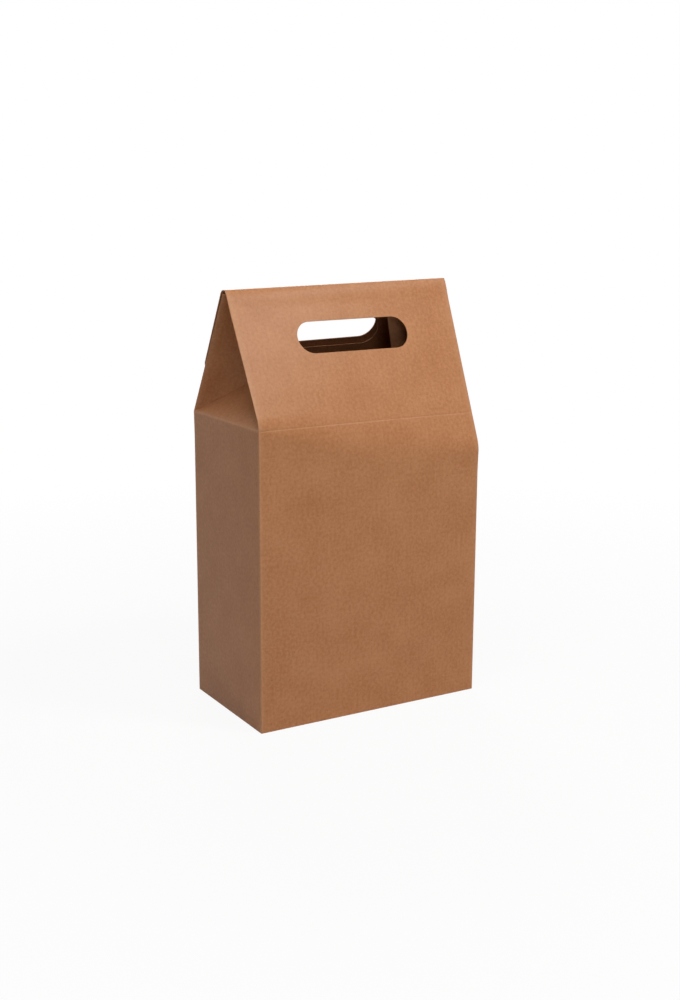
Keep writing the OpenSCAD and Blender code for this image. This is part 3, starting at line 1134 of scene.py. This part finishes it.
# %% Lengths of the flat top, the bend and the slope
LENGTH_SUMS = (
    ("half turn", "MULTIPLY", "turn", 0.5),
    ("tangent", "TANGENT", "half turn"),
    ("tangent", "MULTIPLY", "tangent", "Bend radius"),
    ("top", "SUBTRACT", "Rear", "Start"),
    ("top", "SUBTRACT", "top", "tangent"),
    ("bend", "MULTIPLY", "turn", "Bend radius"),
    ("slope", "SUBTRACT", "Slope length", "tangent"),
    ("bend end", "ADD", "top", "bend"),
    ("total", "ADD", "bend end", "slope"))
print(len(LENGTH_SUMS), "sums for lengths")

# %% Distance from the ridge, with the rows drawn together towards the free edge
DISTANCE_SUMS = (
    ("quarter", "MULTIPLY", "down", math.pi / 2),
    ("gone", "SINE", "quarter"),
    ("gone", "MULTIPLY", "gone", "total"),
    ("on top", "MINIMUM", "gone", "top"),
    ("angle", "SUBTRACT", "gone", "top"),
    ("angle", "DIVIDE", "angle", "Bend radius"),
    ("angle", "MAXIMUM", "angle", 0.0),
    ("angle", "MINIMUM", "angle", "turn"),
    ("below", "SUBTRACT", "gone", "bend end"),
    ("below", "MAXIMUM", "below", 0.0))
print(len(DISTANCE_SUMS), "sums for distances")

# %% Y runs back and Z falls as the board turns down
FOLD_SUMS = (
    ("sine", "SINE", "angle"),
    ("cosine", "COSINE", "angle"),
    ("back", "ADD", "Start", "on top"),
    ("back", "MULTIPLY_ADD", "Bend radius", "sine", "back"),
    ("back", "MULTIPLY_ADD", "below", "cosine", "back"),
    ("drop", "SUBTRACT", 1.0, "cosine"),
    ("drop", "MULTIPLY", "drop", "Bend radius"),
    ("drop", "MULTIPLY_ADD", "below", "sine", "drop"),
    ("up", "SUBTRACT", "height", "drop"))
print(len(FOLD_SUMS), "sums for the folded place")

# %% The width narrows along a quarter circle at the free corners
CORNER_SUMS = (
    ("straight", "SUBTRACT", "total", "Corner radius"),
    ("over", "SUBTRACT", "gone", "straight"),
    ("over", "MAXIMUM", "over", 0.0),
    ("over", "POWER", "over", 2.0),
    ("square", "POWER", "Corner radius", 2.0),
    ("left", "SUBTRACT", "square", "over"),
    ("left", "MAXIMUM", "left", 0.0),
    ("left", "SQRT", "left"),
    ("wide", "SUBTRACT", "Half width", "Corner radius"),
    ("wide", "ADD", "wide", "left"),
    ("sideways", "MULTIPLY", "X", 2.0),
    ("sideways", "MULTIPLY", "sideways", "wide"),
    ("flat up", "ADD", "gone", "Flat start"),
    ("flat along", "ADD", "sideways", "Half width"),
    ("inward", "MULTIPLY", "Thickness", -0.5))
print(len(CORNER_SUMS), "sums for round corners, the flat blank and the thickness")

# %% Nodes of the sums
value = {socket.name: socket for socket in (*size, *where)}
for name, operation, *terms in LEAN_SUMS + LENGTH_SUMS + DISTANCE_SUMS + FOLD_SUMS + CORNER_SUMS:
    sockets = {k: value.get(term, term) for k, term in enumerate(terms)}
    value[name] = add(flap_tree, MATH, sockets, operation=operation)
print("rule of", len(flap_tree.nodes), "nodes")

# %% Fold, thicken and cut
flat = add(flap_tree, "ShaderNodeCombineXYZ", {"X": value["flat along"], "Y": value["flat up"]})
sheet = add(flap_tree, "GeometryNodeStoreNamedAttribute",
            {"Geometry": plain, "Name": "flat", "Value": flat}, data_type="FLOAT2", domain="CORNER")
folded = add(flap_tree, "ShaderNodeCombineXYZ",
             {"X": value["sideways"], "Y": value["back"], "Z": value["up"]})
sheet = add(flap_tree, "GeometryNodeSetPosition", {"Geometry": sheet, "Position": folded})
sink = add(flap_tree, "ShaderNodeVectorMath",
           {0: add(flap_tree, "GeometryNodeInputNormal"), "Scale": value["inward"]}, operation="SCALE")
sheet = add(flap_tree, "GeometryNodeSetPosition", {"Geometry": sheet, "Offset": sink})
thick = add(flap_tree, "GeometryNodeExtrudeMesh",
            {"Mesh": sheet, "Offset Scale": size["Thickness"], "Individual": False})
edged = add(flap_tree, "GeometryNodeSetMaterial",
            {"Geometry": thick, "Selection": thick.outputs["Side"], "Material": size["Cut edge"]})
lining = add(flap_tree, "GeometryNodeFlipFaces", {"Mesh": sheet})
board = add(flap_tree, "GeometryNodeJoinGeometry", {"Geometry": edged})
feed(flap_tree, board, {0: lining})
board = add(flap_tree, "GeometryNodeMergeByDistance", {"Geometry": board, "Distance": SAME_POINT})
board = cut_slot(flap_tree, size, board, size["Slot place"], size["Slot turn"])
finish_board(flap_tree, size, board)
print("tree of", len(flap_tree.nodes), "nodes")

# %% [markdown]
# ### Sizes of the flap
# The flap starts lifted off the back roof and ends close to it, so its lean differs from the roof's. The
# sizes go in through the tree's named inputs, and the result becomes a plain mesh.

# %% The closing flap
def flap_lean(t):
    """Lean of the flap: it starts lifted off the back roof and ends close to it."""
    out = point(0, math.cos(back_lean(t)), math.sin(back_lean(t)))
    room = float((rear_ridge(t) - back_top(t)) @ out)
    return back_lean(t) - math.asin((room - BOARD - FLAP_GAP) / (FLAP_L - SPINE_W))


closing_flap = new_object("closing_flap_sheet", bpy.data.meshes.new("closing_flap_sheet"))
flap_place, flap_turn = on_slope(rear_ridge(0.5), flap_lean(0.5), math.pi, FLAP_SLOT_SHIFT,
                                 SLOT_DROP - FLAP_SLOT_RISE, -FLAP_SLOT_TURN)
run_tree(closing_flap, flap_tree, {
    **slot_sizes, "Half width": half_w * MM, "Start": (-SPINE_W / 2 + crease_d / 2 + HINGE_GAP) * MM,
    "Rear": SPINE_W / 2 * MM, "Left height": ridge_low * MM, "Right height": ridge_high * MM,
    "Left lean": flap_lean(0), "Right lean": flap_lean(1), "Bend radius": FLAP_BEND * MM,
    "Slope length": (FLAP_L - SPINE_W) * MM, "Corner radius": FLAP_CORNER * MM, "Thickness": BOARD * MM,
    "Flat start": sheet_h * MM, "Slot place": flap_place, "Slot turn": flap_turn})
print("closing flap:", len(closing_flap.data.polygons), "faces")

# %% [markdown]
# ## Smooth faces and crisp creases
# Faces that meet at a small angle are shaded as one, so the rounds look round. Creases and cut edges stay
# crisp. Then each piece is told which moving body it rides on, and the solid of the same name is hidden.

# %% Shading and riding
CRISP = math.radians(20)
for piece, body in ((carton, "carton"), (closing_flap, "closing_flap")):
    piece.data.shade_smooth()
    piece.data.set_sharp_from_angle(angle=CRISP)
    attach(piece, body)
    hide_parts(body)
    print(piece.name, "rides on", body)

# %% [markdown]
# ## The floor
# The photograph is a plain studio shot on white. The floor is white paper. It could be lit until it is
# white, but that would bleach the box too. Instead the camera, and any shiny or clear surface, sees it
# almost as pure white and fully so further away, so that only the soft shadow beside the box shows, while
# it still throws its plain light up at the walls.

# %% White paper floor
FLOOR_SIZE = 8.0
SHADOW_NEAR = 0.25
SHADOW_FAR = 0.8
GLOW_NEAR = 0.92
WHITE = (1.0, 1.0, 1.0, 1.0)


def seen_directly(tree):
    """1 for what the camera sees, also in something shiny or clear, and 0 for light that bounces."""
    path = add(tree, "ShaderNodeLightPath").outputs
    seen = add(tree, MATH, {0: path["Is Camera Ray"], 1: path["Is Glossy Ray"]}, operation="MAXIMUM")
    return add(tree, MATH, {0: seen, 1: path["Is Transmission Ray"]}, operation="MAXIMUM")


def white_paper():
    # Uncoated white paper: matt and even, with no sheen of its own
    material, tree, shader = new_finish("uncoated_white_paper")
    feed(tree, shader, {"Base Color": linear("#DEDDDB"), "Roughness": 0.9})
    place = add(tree, "ShaderNodeTexCoord").outputs["Object"]
    away = add(tree, "ShaderNodeVectorMath", {0: place}, operation="LENGTH").outputs["Value"]
    fade = add(tree, "ShaderNodeMapRange", {"Value": away, "From Min": SHADOW_NEAR,
                                            "From Max": SHADOW_FAR, "To Min": GLOW_NEAR, "To Max": 1.0})
    share = add(tree, MATH, {0: seen_directly(tree), 1: fade}, operation="MULTIPLY")
    glow = add(tree, "ShaderNodeEmission", {"Color": WHITE, "Strength": 1.0})
    blend = add(tree, "ShaderNodeMixShader", {0: share, 1: shader, 2: glow})
    feed(tree, tree.nodes["Material Output"], {"Surface": blend})
    return material


floor_mesh = bpy.data.meshes.new("floor")
corners = [(-FLOOR_SIZE, -FLOOR_SIZE, 0), (FLOOR_SIZE, -FLOOR_SIZE, 0),
           (FLOOR_SIZE, FLOOR_SIZE, 0), (-FLOOR_SIZE, FLOOR_SIZE, 0)]
floor_mesh.from_pydata([Vector(c) for c in corners], [], [(0, 1, 2, 3)])
floor_mesh.materials.append(white_paper())
floor = new_object("floor", floor_mesh)
print("floor", 2 * FLOOR_SIZE, "m wide")

# %% [markdown]
# ## The light
# Four softboxes and a dim white room. One softbox hangs high in front at the right, where the roof throws
# its light back at the camera, and gives the faint sheen. A weak one near the camera fills the front. One
# above at the left lights the roof and the side wall, and one behind the box lights its back.

# %% Softboxes and white room
LIGHT_AIM = Vector((0.0, 0.0, 0.15))
ROOM = 0.03
# Name, place in metres, width in metres, power in watts
SOFTBOXES = (("sheen_softbox", (0.57, -0.78, 1.24), 0.3, 10.3),
             ("front_softbox", (-0.3, -1.3, 0.75), 0.6, 1.6),
             ("top_softbox", (-0.42, -0.35, 1.4), 0.7, 7.6),
             ("back_softbox", (0.5, 1.2, 1.0), 0.7, 8.0))
for name, place, width, power in SOFTBOXES:
    lamp = new_object(name, bpy.data.lights.new(name, "AREA"))
    lamp.data.size = width
    lamp.data.energy = power
    lamp.location = place
    lamp.rotation_euler = (LIGHT_AIM - lamp.location).to_track_quat("-Z", "Y").to_euler()
world = bpy.data.worlds.new("white_room")
world.use_nodes = True
tree = world.node_tree
level = add(tree, "ShaderNodeMapRange", {"Value": seen_directly(tree), "To Min": ROOM, "To Max": 1.0})
feed(tree, tree.nodes["Background"], {"Strength": level, "Color": WHITE})
bpy.context.scene.world = world
bpy.context.scene.view_settings.view_transform = "Standard"
print(len(SOFTBOXES), "softboxes in a white room")
